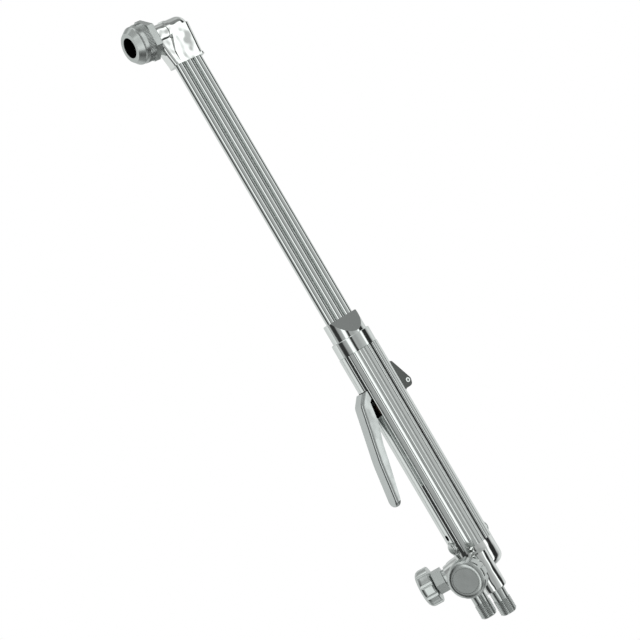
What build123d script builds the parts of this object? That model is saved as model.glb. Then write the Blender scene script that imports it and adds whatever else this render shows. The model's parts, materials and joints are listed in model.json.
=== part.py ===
from build123d import *

import os
from math import cos, radians, sin

# Hand cutting torch for oxygen and fuel gas, in millimetres.
# Origin: on the handle's axis, midway along the grip.
# +X runs from the cutting head back to the hose inlets, and +Z is the lever bracket's side,
# so the tip nut, the lever and both valve knobs point down.
# Three tubes carry cutting oxygen, preheat oxygen and fuel gas from the handle to the head.

os.makedirs("parts", exist_ok=True)

# ---------------------------------------------------------------- driving dimensions
# Handle and the pieces in line with it
HANDLE_LENGTH = 181.4
HANDLE_D = 35.0
HANDLE_WALL = 1.5
FLUTE_COUNT = 24
FLUTE_DEPTH = 0.2
FLUTE_D = 5.2
COLLAR_STEP = 0.4
COLLAR_LENGTH = 13.0
FERRULE_COVER = 1.95
FERRULE_LENGTH = 16.7
FERRULE_NOSE_COVER = 1.85
BEVEL_LENGTH = 15.0
BLOCK_COVER = 0.75
BLOCK_FLANGE = 12.5
EDGE_BREAK = 0.5
SLOT_CORNER = 1.0

# The three tubes
TUBE_D = 8.5
TUBE_WALL = 1.0
TUBE_GAP = 0.5
TUBE_REACH = 240.8
HEAD_SOCKET = 8.0
BLOCK_SOCKET = 6.5

# Cutting head: X from the tip's axis, heights from the tubes' axis
HEAD_REACH = 28.6
WEB_NUT_GAP = 0.5
HEAD_WIDTH = 12.8
HEAD_COVER = 1.2
HEAD_FOOT_COVER = 2.4
HEAD_EDGE = 5.0
HEAD_FOOT_EDGE = 3.0
HEAD_BELLY = -9.5
HEAD_BELLY_START = 18.0
RIM_LENGTH = 2.0
RIM_PROUD = 0.4
CROWN_D = 18.6
CROWN_RISE = 1.0
CROWN_ROUND = 8.5
NECK_RING_D = 19.6
NECK_RING_TOP = -3.0
NECK_RING_HEIGHT = 3.5
BARREL_D = 17.8
HEAD_THREAD_D = 21.9
HEAD_THREAD_TOP = -20.6
HEAD_THREAD_LENGTH = 10.0
TIP_SEAT_MOUTH_D = 15.4
TIP_SEAT_FLOOR_D = 9.6
TIP_SEAT_DEPTH = 7.0
CENTRE_WAY = 4.0
RING_WAY = 2.6
RING_WAY_X = 4.2
RING_WAY_Y = 3.0

# Tip nut
NUT_TOP = -19.8
NUT_HEX_FLATS = 30.2
NUT_HEX_HEIGHT = 6.2
NUT_HEX_TURN = 5.0
NUT_HEX_CHAMFER = 0.6
NUT_BARREL_D = 31.4
NUT_BARREL_LENGTH = 9.7
NUT_NOSE_LENGTH = 5.0
NUT_NOSE_D = 24.0
NUT_NOSE_ROUND = 2.5
NUT_HOLE_D = 16.7
NUT_LIP = 5.2
NUT_SHOULDER = 2.0

# Lever, its arm, bracket and pin
PIN_SETBACK = 41.5
PIN_RISE = 5.9
PIN_D = 4.0
PIN_BORE = 2.0
PIN_OVERHANG = 0.5
EAR_THICKNESS = 2.5
EAR_RADIUS = 3.5
EAR_HEEL = 1.8
EAR_HEEL_DROP = 0.6
EAR_FRONT_RISE = 0.4
EAR_REACH = 20.0
EAR_SIDE_GAP = 0.25
SADDLE_THICKNESS = 1.4
SADDLE_OVERHANG = 0.6
ARM_THICKNESS = 5.0
ARM_EYE_RADIUS = 3.4
ARM_FOOT_REACH = 7.0
ARM_TOE_DROP = 2.0
ARM_BEND_DROP = 8.6
ARM_HEEL_DROP = 9.5
LEVER_WIDTH = 13.4
LEVER_SHEET = 1.8
LEVER_BEND = 2.5
LEVER_TIP_ROUND = 6.0
LEVER_REACH = 81.0
LEVER_START = 10.0
LEVER_CLOSE = 5.0
LEVER_SLOT_SIDE = 1.1
SLOT_FRONT = 10.5
SLOT_REAR = 13.0
TOP_SLOT_SIDE = 0.7
TOP_SLOT_FRONT = 6.5
TOP_SLOT_REAR = 6.5

# Cutting-oxygen valve inside the handle
VALVE_BODY_D = 12.0
VALVE_BODY_FRONT = 13.0
VALVE_BODY_LENGTH = 60.0
GLAND_NUT_D = 11.0
GLAND_NUT_LENGTH = 2.0
GLAND_NUT_SPIGOT = 3.0
GLAND_BORE_D = 8.0
GLAND_DEPTH = 7.0
GUIDE_LENGTH = 7.0
OUTLET_CHAMBER_D = 7.0
OUTLET_CHAMBER_LENGTH = 10.0
ORIFICE_D = 5.0
ORIFICE_LENGTH = 4.0
INLET_CHAMBER_D = 9.0
PLUNGER_D = 4.0
PLUNGER_GAP = 0.3
PLUNGER_NECK_D = 2.9
PLUNGER_NECK_LENGTH = 7.0
SEAT_DISC_THICKNESS = 1.2
POPPET_D = 7.4
POPPET_LENGTH = 4.0
SPRING_GUIDE_D = 3.0
SPRING_GUIDE_LENGTH = 10.0
SPRING_WIRE = 0.8
SPRING_D = 7.2
SPRING_TURNS = 7
CAP_SPIGOT = 4.0
CAP_LENGTH = 9.0
LUG_WALL = 1.125
LUG_LENGTH = 9.0
LUG_OVERLAP = 2.0
LUG_SHELL_GAP = 0.3

# Pipes inside the handle
PIPE_D = 6.35
PIPE_WALL = 0.9
PIPE_SIDE_GAP = 0.325
PIPE_RISE = 1.825
PIPE_SOCKET = 5.0
GAS_WAY = 3.0

# Rear body, hose inlets and handle screws
BODY_LENGTH = 22.6
BODY_SHOULDER = 7.0
SPIGOT_LENGTH = 12.5
BOSS_Y = 14.5
BOSS_Z = -10.8
BOSS_D = 19.5
BOSS_START = 5.0
BOSS_END = 37.7
BOSS_ROUND = 1.2
WEB_HEIGHT = 10.0
WEB_END = 26.0
INLET_WAY_SETBACK = 4.5
INLET_NECK_D = 13.0
INLET_NECK_LENGTH = 8.0
INLET_THREAD_D = 14.288
INLET_THREAD_LENGTH = 13.4
INLET_THREAD_CHAMFER = 1.0
INLET_BORE = 6.0
INLET_CONE_D = 10.0
INLET_SPIGOT_D = 10.0
INLET_SPIGOT_LENGTH = 8.0
SCREW_SETBACK = 5.4
SCREW_D = 4.0
SCREW_LENGTH = 8.0
SCREW_HEAD_D = 10.0
SCREW_HEAD_HEIGHT = 3.2
SCREW_HEAD_ROUND = 1.8
SCREW_SEAT_DEPTH = 0.9
SCREW_SEAT_SIDE = 0.9
VENT_SETBACK = 15.1
VENT_LENGTH = 5.0
VENT_WIDTH = 3.5
NOTCH_ANGLE = 50.0
NOTCH_D = 6.0
NOTCH_SETBACK = 2.0
NOTCH_POCKET = 2.5

# Gas valves: distances out from the handle's axis along each valve's own axis
VALVE_SETBACK = 13.9
VALVE_ANGLE = 38.0
ROOT_AT = 13.0
ROOT_D = 24.0
TOP_AT = 30.2
TOP_D = 17.6
WAY_AT = 7.5
SEAT_AT = 12.0
SEAT_HOLE_D = 3.0
STEM_BORE_D = 8.0
PACKING_AT = 24.5
PACKING_THICKNESS = 3.0
PACKING_BORE_D = 12.0
STEM_D = 4.8
STEM_TIP_AT = 10.6
STEM_TIP_D = 1.0
STEM_CONE_AT = 13.4
STEM_THREAD_AT = 16.0
STEM_THREAD_LENGTH = 5.5
STEM_TOP_AT = 50.2
NUT_COLLAR_D = 14.0
NUT_COLLAR_HEIGHT = 2.9
PACKING_NUT_FLATS = 18.2
PACKING_NUT_HEIGHT = 8.8
PACKING_NUT_CHAMFER = 0.7
PACKING_NUT_TURN = 26.0
KNOB_GAP = 0.3
KNOB_D = 31.6
KNOB_LENGTH = 12.2
KNOB_ROUND = 5.0
KNOB_BACK_ROUND = 1.2
KNOB_LOBES = 10
KNOB_FLUTE_D = 5.0
KNOB_FLUTE_DEPTH = 1.1
KNOB_CAP_D = 20.5
KNOB_CAP_THICKNESS = 1.0
KNOB_CAP_EDGE = 0.2
KNOB_SCREW_D = 3.0
KNOB_SCREW_LENGTH = 6.0
KNOB_SCREW_HEAD_D = 6.4
KNOB_SCREW_HEAD_HEIGHT = 2.4

# Clearances
BRAZE = 0.05
RUNNING = 0.05
THREAD = 0.05
FACE_GAP = 0.1
HOLE_SPARE = 0.5

# ---------------------------------------------------------------- derived places
handle_front = -HANDLE_LENGTH / 2
handle_rear = HANDLE_LENGTH / 2
collar_front = handle_front - COLLAR_LENGTH
ferrule_front = collar_front - FERRULE_LENGTH
head_rear = ferrule_front - TUBE_REACH
tip_x = head_rear - HEAD_REACH
tube_pitch = TUBE_D + TUBE_GAP
tube_heights = {"top": tube_pitch, "middle": 0.0, "bottom": -tube_pitch}
pin_x = handle_front + PIN_SETBACK
pin_z = HANDLE_D / 2 + PIN_RISE
shell_bore = HANDLE_D - 2 * HANDLE_WALL
block_rear = handle_front + BLOCK_FLANGE
spigot_front = handle_rear - SPIGOT_LENGTH
screw_x = handle_rear - SCREW_SETBACK
valve_x = handle_rear + VALVE_SETBACK
inlet_face = handle_rear + BOSS_END
tube_row_reach = tube_pitch + TUBE_D / 2
block_spigot_d = 2 * (tube_row_reach + BLOCK_COVER)
ferrule_d = 2 * (tube_row_reach + FERRULE_COVER)
ferrule_nose = TUBE_D + 2 * FERRULE_NOSE_COVER
collar_d = HANDLE_D - 2 * COLLAR_STEP
pipe_y = VALVE_BODY_D / 2 + PIPE_D / 2 + PIPE_SIDE_GAP
pipe_z = PIPE_D / 2 + PIPE_RISE
lug_radius = PIPE_D / 2 + LUG_WALL
cutting_pipe = (-pipe_y, pipe_z)
oxygen_pipe = (-pipe_y, -pipe_z)
fuel_pipe = (pipe_y, -pipe_z)
axis_pipe = (0.0, 0.0)


def place(x, yz):
    """A point at X on a line that runs along the torch at the given Y and Z."""
    return (x, yz[0], yz[1])


def bar(start, end, diameter, mode=Mode.ADD):
    """Add a straight round bar, or with Mode.SUBTRACT a straight round way, between two points."""
    way = Vector(*end) - Vector(*start)
    with BuildSketch(Plane(origin=start, z_dir=way)) as section:
        Circle(diameter / 2)
    extrude(section.sketch, amount=way.length, mode=mode)


def turn_profile(plane, points, mode=Mode.ADD):
    """Turn (radius, height) points round the normal of the given plane."""
    side_view = Plane(origin=plane.origin, x_dir=plane.x_dir, z_dir=-plane.y_dir)
    with BuildSketch(side_view) as profile:
        with BuildLine():
            Polyline(*points, close=True)
        make_face()
    revolve(profile.sketch, axis=Axis(plane.origin, plane.z_dir), mode=mode)


def save(piece, name):
    """Label a finished piece and write it to its own file."""
    piece.part.label = name
    export_step(piece.part, f"parts/{name}.step")


# ---------------------------------------------------------------- cutting head
# A forged elbow: a flat-sided body behind, a round crown over the tip's axis, and a
# threaded barrel below that holds the tip's conical seat.
tip_plane = Plane(origin=(tip_x, 0, 0), x_dir=(1, 0, 0), z_dir=(0, 0, 1))
thread_end = HEAD_THREAD_TOP - HEAD_THREAD_LENGTH
neck_ring_foot = NECK_RING_TOP - NECK_RING_HEIGHT
seat_floor = thread_end + TIP_SEAT_DEPTH
web_foot = NUT_TOP + WEB_NUT_GAP
head_top = tube_row_reach + HEAD_COVER
head_foot = -tube_row_reach - HEAD_FOOT_COVER
crown_top = head_top + CROWN_RISE
belly_x = tip_x + HEAD_BELLY_START


def draw_side(points):
    """Draw a closed outline on the torch's side view, from its (X, Z) points."""
    with BuildLine() as outline:
        Polyline(*points, close=True)
    make_face(outline.edges())


with BuildPart() as head:
    # The web below, between the sockets and the barrel
    with BuildSketch(Plane.XZ):
        draw_side([(head_rear, 0), (tip_x, 0), (tip_x, web_foot), (head_rear, head_foot)])
    extrude(amount=HEAD_WIDTH / 2, both=True)
    fillet(head.edges().filter_by(Axis.Y, reverse=True).sort_by(Axis.Z)[:2], HEAD_FOOT_EDGE)
with BuildPart() as head_upper:
    # The upper part, which widens from the sockets to the crown
    with BuildSketch(Plane.XZ):
        belly = [(belly_x, HEAD_BELLY), (tip_x, NECK_RING_TOP)]
        draw_side([(head_rear, HEAD_BELLY), (head_rear, head_top), (tip_x, crown_top), *belly[::-1]])
    extrude(amount=CROWN_D, both=True)
    with BuildSketch(Plane.XY.offset(HEAD_BELLY)):
        with BuildLine() as plan:
            Polyline(
                (tip_x, CROWN_D / 2),
                (head_rear, HEAD_WIDTH / 2),
                (head_rear, -HEAD_WIDTH / 2),
                (tip_x, -CROWN_D / 2),
                close=True,
            )
        make_face(plan.edges())
    extrude(amount=crown_top - HEAD_BELLY, mode=Mode.INTERSECT)
    long_edges = head_upper.edges().filter_by(lambda edge: edge.length > HEAD_REACH - 2)
    fillet(long_edges.sort_by(Axis.Z)[-2:], HEAD_EDGE)
with head:
    add(head_upper.part)
    with BuildSketch(Plane.XZ) as crown:
        with BuildLine():
            crown_foot = (tip_x + CROWN_D / 2, NECK_RING_TOP)
            crown_shoulder = (tip_x + CROWN_D / 2, crown_top - CROWN_ROUND)
            crown_edge = (tip_x + CROWN_D / 2 - CROWN_ROUND, crown_top)
            Line((tip_x, NECK_RING_TOP), crown_foot)
            Line(crown_foot, crown_shoulder)
            RadiusArc(crown_shoulder, crown_edge, -CROWN_ROUND)
            Line(crown_edge, (tip_x, crown_top))
            Line((tip_x, crown_top), (tip_x, NECK_RING_TOP))
        make_face()
    revolve(crown.sketch, axis=Axis(tip_plane.origin, tip_plane.z_dir))
    turn_profile(
        tip_plane,
        [
            (0, NECK_RING_TOP),
            (NECK_RING_D / 2, NECK_RING_TOP),
            (NECK_RING_D / 2, neck_ring_foot),
            (BARREL_D / 2, neck_ring_foot),
            (BARREL_D / 2, HEAD_THREAD_TOP),
            (HEAD_THREAD_D / 2, HEAD_THREAD_TOP),
            (HEAD_THREAD_D / 2, thread_end),
            (TIP_SEAT_MOUTH_D / 2, thread_end),
            (TIP_SEAT_FLOOR_D / 2, seat_floor),
            (0, seat_floor),
        ],
    )
    with BuildSketch(Plane.YZ.offset(head_rear - RIM_LENGTH)):
        with Locations((0, (head_top + head_foot) / 2)):
            rim_width = HEAD_WIDTH + 2 * RIM_PROUD
            rim_height = head_top - head_foot + 2 * RIM_PROUD
            RectangleRounded(rim_width, rim_height, HEAD_FOOT_EDGE + RIM_PROUD)
    extrude(amount=RIM_LENGTH)
    for height in tube_heights.values():
        socket_floor = (head_rear - HEAD_SOCKET, 0, height)
        bar((head_rear, 0, height), socket_floor, TUBE_D + 2 * BRAZE, Mode.SUBTRACT)
    # Cutting oxygen: along the top tube to the tip's axis, then down the middle of the seat
    socket_x = head_rear - HEAD_SOCKET
    bar((socket_x, 0, tube_heights["top"]), (tip_x, 0, tube_heights["top"]), CENTRE_WAY, Mode.SUBTRACT)
    bar((tip_x, 0, tube_heights["top"]), (tip_x, 0, seat_floor), CENTRE_WAY, Mode.SUBTRACT)
    # Preheat oxygen and fuel gas: slanting ways to two drillings beside the middle one
    for side, tube in ((1, "middle"), (-1, "bottom")):
        turn_point = (tip_x + RING_WAY_X, side * RING_WAY_Y, tube_heights[tube] - TUBE_D / 2)
        bar((socket_x, 0, tube_heights[tube]), turn_point, RING_WAY, Mode.SUBTRACT)
        bar(turn_point, (turn_point[0], turn_point[1], seat_floor), RING_WAY, Mode.SUBTRACT)
save(head, "head")

# ---------------------------------------------------------------- three tubes
for name, height in tube_heights.items():
    tube_start = (head_rear - HEAD_SOCKET, 0, height)
    tube_end = (collar_front + BLOCK_SOCKET, 0, height)
    with BuildPart() as tube:
        bar(tube_start, tube_end, TUBE_D)
        bar(tube_start, tube_end, TUBE_D - 2 * TUBE_WALL, Mode.SUBTRACT)
    save(tube, f"tube_{name}")

# ---------------------------------------------------------------- tip nut
# Screws up the head's barrel and clamps the tip's flange against the seat.
nut_barrel_top = NUT_TOP - NUT_HEX_HEIGHT
nut_nose_top = nut_barrel_top - NUT_BARREL_LENGTH
nut_end = nut_nose_top - NUT_NOSE_LENGTH
lip_top = nut_end + NUT_LIP
nut_bore_radius = HEAD_THREAD_D / 2 + THREAD

with BuildPart() as tip_nut:
    with BuildSketch(tip_plane.offset(NUT_TOP)):
        RegularPolygon(NUT_HEX_FLATS / 2, 6, major_radius=False, rotation=NUT_HEX_TURN)
    extrude(amount=-NUT_HEX_HEIGHT)
    chamfer(tip_nut.edges().group_by(Axis.Z)[-1], NUT_HEX_CHAMFER)
    turn_profile(
        tip_plane,
        [
            (0, nut_barrel_top),
            (NUT_BARREL_D / 2, nut_barrel_top),
            (NUT_BARREL_D / 2, nut_nose_top),
            (NUT_NOSE_D / 2, nut_end),
            (0, nut_end),
        ],
    )
    nose_edge = tip_nut.edges().filter_by(GeomType.CIRCLE).group_by(Axis.Z)[1]
    fillet(nose_edge, NUT_NOSE_ROUND)
    turn_profile(
        tip_plane,
        [
            (0, NUT_TOP),
            (nut_bore_radius, NUT_TOP),
            (nut_bore_radius, lip_top + NUT_SHOULDER),
            (NUT_HOLE_D / 2, lip_top),
            (NUT_HOLE_D / 2, nut_end),
            (0, nut_end),
        ],
        Mode.SUBTRACT,
    )
save(tip_nut, "tip_nut")

# ---------------------------------------------------------------- front ferrule
# A round nose with a flat bevel on each side, which leaves a narrow face round the tubes.
with BuildPart() as front_ferrule:
    bar((ferrule_front, 0, 0), (collar_front, 0, 0), ferrule_d)
    chamfer(front_ferrule.edges().sort_by(Axis.X)[0], EDGE_BREAK)
    with BuildSketch(Plane.XY):
        with BuildLine():
            Polyline(
                (ferrule_front, ferrule_nose / 2),
                (ferrule_front + BEVEL_LENGTH, ferrule_d / 2),
                (ferrule_front, ferrule_d / 2 + 1),
                close=True,
            )
        make_face()
        mirror(about=Plane.XZ)
    extrude(amount=ferrule_d, both=True, mode=Mode.SUBTRACT)
    for height in tube_heights.values():
        bar((ferrule_front, 0, height), (collar_front, 0, height), TUBE_D + 2 * BRAZE, Mode.SUBTRACT)
save(front_ferrule, "front_ferrule")

# ---------------------------------------------------------------- front block
# The manifold that joins the three pipes in the handle to the three tubes in line.
gas_routes = (("top", cutting_pipe), ("middle", oxygen_pipe), ("bottom", fuel_pipe))
with BuildPart() as front_block:
    bar((collar_front, 0, 0), (handle_front, 0, 0), block_spigot_d)
    bar((handle_front, 0, 0), (block_rear, 0, 0), shell_bore - 2 * BRAZE)
    for tube, pipe in gas_routes:
        tube_floor = (collar_front + BLOCK_SOCKET, 0, tube_heights[tube])
        pipe_floor = place(block_rear - PIPE_SOCKET, pipe)
        bar((collar_front, 0, tube_heights[tube]), tube_floor, TUBE_D + 2 * BRAZE, Mode.SUBTRACT)
        bar(place(block_rear, pipe), pipe_floor, PIPE_D + 2 * BRAZE, Mode.SUBTRACT)
        bar(tube_floor, pipe_floor, GAS_WAY, Mode.SUBTRACT)
save(front_block, "front_block")

# ---------------------------------------------------------------- collar ring
with BuildPart() as collar_ring:
    bar((collar_front, 0, 0), (handle_front, 0, 0), collar_d)
    collar_wall = (collar_d - block_spigot_d) / 2 - BRAZE
    chamfer(collar_ring.edges().filter_by(GeomType.CIRCLE), min(EDGE_BREAK, collar_wall / 2))
    bar((collar_front, 0, 0), (handle_front, 0, 0), block_spigot_d + 2 * BRAZE, Mode.SUBTRACT)
save(collar_ring, "collar_ring")

# ---------------------------------------------------------------- handle shell
# A fluted tube, slotted below for the lever and above for the lever's arm.
slot_front_x = pin_x - SLOT_FRONT
slot_rear_x = pin_x + SLOT_REAR
top_slot_front_x = pin_x - TOP_SLOT_FRONT
top_slot_rear_x = pin_x + TOP_SLOT_REAR
slot_width = LEVER_WIDTH + 2 * LEVER_SLOT_SIDE
top_slot_width = ARM_THICKNESS + 2 * TOP_SLOT_SIDE
notch_x = handle_rear - NOTCH_SETBACK
screw_seat_height = HANDLE_D / 2 - SCREW_SEAT_DEPTH


def notch_direction(side):
    """The outward direction of the notch on one side of the handle's rear edge."""
    return Vector(0, side * sin(radians(NOTCH_ANGLE)), -cos(radians(NOTCH_ANGLE)))


with BuildPart() as handle_shell:
    with BuildSketch(Plane.YZ.offset(handle_front)):
        Circle(HANDLE_D / 2)
        with PolarLocations(HANDLE_D / 2 + FLUTE_D / 2 - FLUTE_DEPTH, FLUTE_COUNT):
            Circle(FLUTE_D / 2, mode=Mode.SUBTRACT)
        Circle(shell_bore / 2, mode=Mode.SUBTRACT)
    extrude(amount=HANDLE_LENGTH)
    with BuildSketch(Plane.XY):
        with Locations(((slot_front_x + slot_rear_x) / 2, 0)):
            RectangleRounded(slot_rear_x - slot_front_x, slot_width, SLOT_CORNER)
        with Locations((handle_rear - VENT_SETBACK, 0)):
            SlotOverall(VENT_LENGTH, VENT_WIDTH)
    extrude(amount=-HANDLE_D, mode=Mode.SUBTRACT)
    with BuildSketch(Plane.XY):
        with Locations(((top_slot_front_x + top_slot_rear_x) / 2, 0)):
            RectangleRounded(top_slot_rear_x - top_slot_front_x, top_slot_width, SLOT_CORNER)
    extrude(amount=HANDLE_D, mode=Mode.SUBTRACT)
    for side in (1, -1):
        seat = (screw_x, 0, side * screw_seat_height)
        sky = (screw_x, 0, side * HANDLE_D)
        bar(seat, sky, SCREW_HEAD_D + 2 * SCREW_SEAT_SIDE, Mode.SUBTRACT)
        bar((screw_x, 0, 0), sky, SCREW_D + 2 * THREAD, Mode.SUBTRACT)
        outward = notch_direction(side) * HANDLE_D
        bar((notch_x, 0, 0), (notch_x, outward.Y, outward.Z), NOTCH_D, Mode.SUBTRACT)
save(handle_shell, "handle_shell")

# ---------------------------------------------------------------- lever bracket and pin
# Two ears on a saddle that is welded to the top of the handle.
ear_inside = ARM_THICKNESS / 2 + EAR_SIDE_GAP
ear_outside = ear_inside + EAR_THICKNESS
ear_front_x = pin_x - EAR_REACH
ear_rear_x = pin_x + EAR_HEEL + EAR_RADIUS
saddle_half_width = ear_outside + SADDLE_OVERHANG
saddle_top = HANDLE_D / 2 + SADDLE_THICKNESS
ear_foot = HANDLE_D / 2 + SADDLE_THICKNESS / 4

with BuildPart() as lever_bracket:
    with BuildSketch(Plane.YZ.offset(ear_front_x - SADDLE_OVERHANG)):
        Circle(saddle_top)
        Circle(HANDLE_D / 2, mode=Mode.SUBTRACT)
        with Locations((0, saddle_top)):
            Rectangle(2 * saddle_half_width, saddle_top, mode=Mode.INTERSECT)
    extrude(amount=ear_rear_x - ear_front_x + 2 * SADDLE_OVERHANG)
    with BuildSketch(Plane.XZ):
        with BuildLine():
            CenterArc((pin_x, pin_z), EAR_RADIUS, 0, 360)
            CenterArc((pin_x + EAR_HEEL, pin_z - EAR_HEEL_DROP), EAR_RADIUS, 0, 360)
            Polyline(
                (ear_front_x, ear_foot),
                (ear_front_x, saddle_top + EAR_FRONT_RISE),
                (ear_rear_x, ear_foot),
                close=True,
            )
        make_hull()
    extrude(amount=ear_outside, both=True)
    with BuildSketch(Plane.XY.offset(pin_z + EAR_RADIUS)):
        with Locations(((top_slot_front_x + ear_rear_x + SADDLE_OVERHANG) / 2 + 1, 0)):
            Rectangle(ear_rear_x + SADDLE_OVERHANG - top_slot_front_x + 2, 2 * ear_inside)
    extrude(amount=-(pin_z + EAR_RADIUS), mode=Mode.SUBTRACT)
    bar((pin_x, -ear_outside, pin_z), (pin_x, ear_outside, pin_z), PIN_D, Mode.SUBTRACT)
save(lever_bracket, "lever_bracket")

pin_half_length = ear_outside + PIN_OVERHANG
with BuildPart() as lever_pin:
    bar((pin_x, -pin_half_length, pin_z), (pin_x, pin_half_length, pin_z), PIN_D)
    bar((pin_x, -pin_half_length, pin_z), (pin_x, pin_half_length, pin_z), PIN_BORE, Mode.SUBTRACT)
save(lever_pin, "lever_pin")

# ---------------------------------------------------------------- lever
# A channel of bent sheet, open towards the handle, hung from the pin by a flat arm.
# Each point is a distance behind the pin and a drop below the handle's underside.
lever_face = [(-LEVER_START, 3.0), (-2.5, 10.1), (43.0, 21.7), (LEVER_REACH, 27.9)]
lever_face_rounds = (8.0, 90.0)
wall_top = [(LEVER_REACH, 23.9), (45.0, 13.7), (33.0, 10.7), (16.0, 4.3), (-1.0, 1.4)]
wall_rise = [(-LEVER_CLOSE, -3.5), (-LEVER_START, -3.5)]


def below_handle(point):
    """A point on the lever's side view, from its distance behind the pin and its drop."""
    return (pin_x + point[0], -HANDLE_D / 2 - point[1])


def draw_lever_side(top_points):
    """Draw the lever's side view, from its outer face up to the given upper edge."""
    lower_points = [below_handle(point) for point in lever_face]
    draw_side([*lower_points, *top_points])
    for corner, radius in zip(lower_points[1:3], lever_face_rounds):
        fillet(lever_side.vertices().sort_by_distance((*corner, 0))[0], radius)


def draw_lever_plan(inset):
    """Draw the lever from above, with its round end, inset all round by a wall."""
    half_width = LEVER_WIDTH / 2 - inset
    end_x = pin_x + LEVER_REACH - inset
    with Locations((end_x - HANDLE_LENGTH / 2, 0)):
        RectangleRounded(HANDLE_LENGTH, 2 * half_width, LEVER_TIP_ROUND - inset)


wall_top_points = [below_handle(point) for point in wall_top + wall_rise]
open_top_points = [(pin_x + LEVER_REACH, HANDLE_D), (pin_x - LEVER_START, HANDLE_D)]
with BuildPart() as lever_hollow:
    with BuildSketch(Plane.XZ) as lever_side:
        draw_lever_side(open_top_points)
        offset(amount=-LEVER_SHEET, mode=Mode.REPLACE)
    extrude(amount=LEVER_WIDTH, both=True)
    with BuildSketch(Plane.XY.offset(-HANDLE_LENGTH)):
        draw_lever_plan(LEVER_SHEET)
    extrude(amount=2 * HANDLE_LENGTH, mode=Mode.INTERSECT)

with BuildPart() as lever:
    with BuildSketch(Plane.XZ) as lever_side:
        draw_lever_side(wall_top_points)
    extrude(amount=LEVER_WIDTH / 2, both=True)
    with BuildSketch(Plane.XY.offset(-HANDLE_LENGTH)):
        draw_lever_plan(0)
    extrude(amount=2 * HANDLE_LENGTH, mode=Mode.INTERSECT)
    tip_start_x = pin_x + LEVER_REACH - LEVER_TIP_ROUND - 1
    outer_faces = lever.faces().filter_by(lambda face: face.normal_at().Z < -0.5)
    bends = outer_faces.edges().filter_by(
        lambda edge: abs(edge.center().Y) > 1 or edge.center().X > tip_start_x
    )
    fillet(bends, LEVER_BEND)
    add(lever_hollow.part, mode=Mode.SUBTRACT)
save(lever, "lever")

arm_rear_x = pin_x + ARM_EYE_RADIUS
arm_corners = [
    (ARM_EYE_RADIUS, ARM_HEEL_DROP),
    (0.0, ARM_BEND_DROP),
    (-ARM_FOOT_REACH, ARM_TOE_DROP),
    (-ARM_FOOT_REACH, ARM_TOE_DROP - ARM_FOOT_REACH),
]
arm_top = [(pin_x - ARM_EYE_RADIUS, pin_z), (arm_rear_x, pin_z)]
with BuildPart() as lever_arm:
    with BuildSketch(Plane.XZ):
        with Locations((pin_x, pin_z)):
            Circle(ARM_EYE_RADIUS)
        draw_side([*arm_top, *[below_handle(corner) for corner in arm_corners]])
    extrude(amount=ARM_THICKNESS / 2, both=True)
    bar((pin_x, -ARM_THICKNESS, pin_z), (pin_x, ARM_THICKNESS, pin_z), PIN_D + 2 * RUNNING, Mode.SUBTRACT)
save(lever_arm, "lever_arm")

# ---------------------------------------------------------------- cutting-oxygen valve
# The lever's arm pushes the plunger back, which lifts the poppet off its orifice.
valve_front_x = pin_x + VALVE_BODY_FRONT
valve_rear_x = valve_front_x + VALVE_BODY_LENGTH
guide_front_x = valve_front_x + GLAND_DEPTH
outlet_front_x = guide_front_x + GUIDE_LENGTH
outlet_rear_x = outlet_front_x + OUTLET_CHAMBER_LENGTH
orifice_rear_x = outlet_rear_x + ORIFICE_LENGTH
lug_rear_x = outlet_rear_x + LUG_OVERLAP
lug_front_x = lug_rear_x - LUG_LENGTH
lug_way_x = lug_front_x + PIPE_SOCKET + 1

with BuildPart() as cutting_valve_body:
    bar((valve_front_x, 0, 0), (valve_rear_x, 0, 0), VALVE_BODY_D)
    with BuildSketch(Plane.YZ.offset(lug_front_x)):
        with BuildLine():
            CenterArc((0, 0), VALVE_BODY_D / 2, 0, 360)
            CenterArc(cutting_pipe, lug_radius, 0, 360)
        make_hull()
        Circle(shell_bore / 2 - LUG_SHELL_GAP, mode=Mode.INTERSECT)
    extrude(amount=LUG_LENGTH)
    bar((valve_front_x, 0, 0), (guide_front_x, 0, 0), GLAND_BORE_D, Mode.SUBTRACT)
    bar((valve_front_x, 0, 0), (outlet_front_x, 0, 0), PLUNGER_D + 2 * RUNNING, Mode.SUBTRACT)
    bar((outlet_front_x, 0, 0), (outlet_rear_x, 0, 0), OUTLET_CHAMBER_D, Mode.SUBTRACT)
    bar((outlet_rear_x, 0, 0), (orifice_rear_x, 0, 0), ORIFICE_D, Mode.SUBTRACT)
    bar((orifice_rear_x, 0, 0), (valve_rear_x, 0, 0), INLET_CHAMBER_D, Mode.SUBTRACT)
    lug_floor = place(lug_front_x + PIPE_SOCKET, cutting_pipe)
    bar(place(lug_front_x, cutting_pipe), lug_floor, PIPE_D + 2 * BRAZE, Mode.SUBTRACT)
    bar(place(lug_way_x, cutting_pipe), (lug_way_x, 0, 0), GAS_WAY, Mode.SUBTRACT)
save(cutting_valve_body, "cutting_valve_body")

gland_packing_front_x = valve_front_x + GLAND_NUT_SPIGOT
with BuildPart() as plunger_packing:
    bar((gland_packing_front_x, 0, 0), (guide_front_x, 0, 0), GLAND_BORE_D - 2 * BRAZE)
    bar((gland_packing_front_x, 0, 0), (guide_front_x, 0, 0), PLUNGER_D + 2 * RUNNING, Mode.SUBTRACT)
save(plunger_packing, "plunger_packing")

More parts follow.
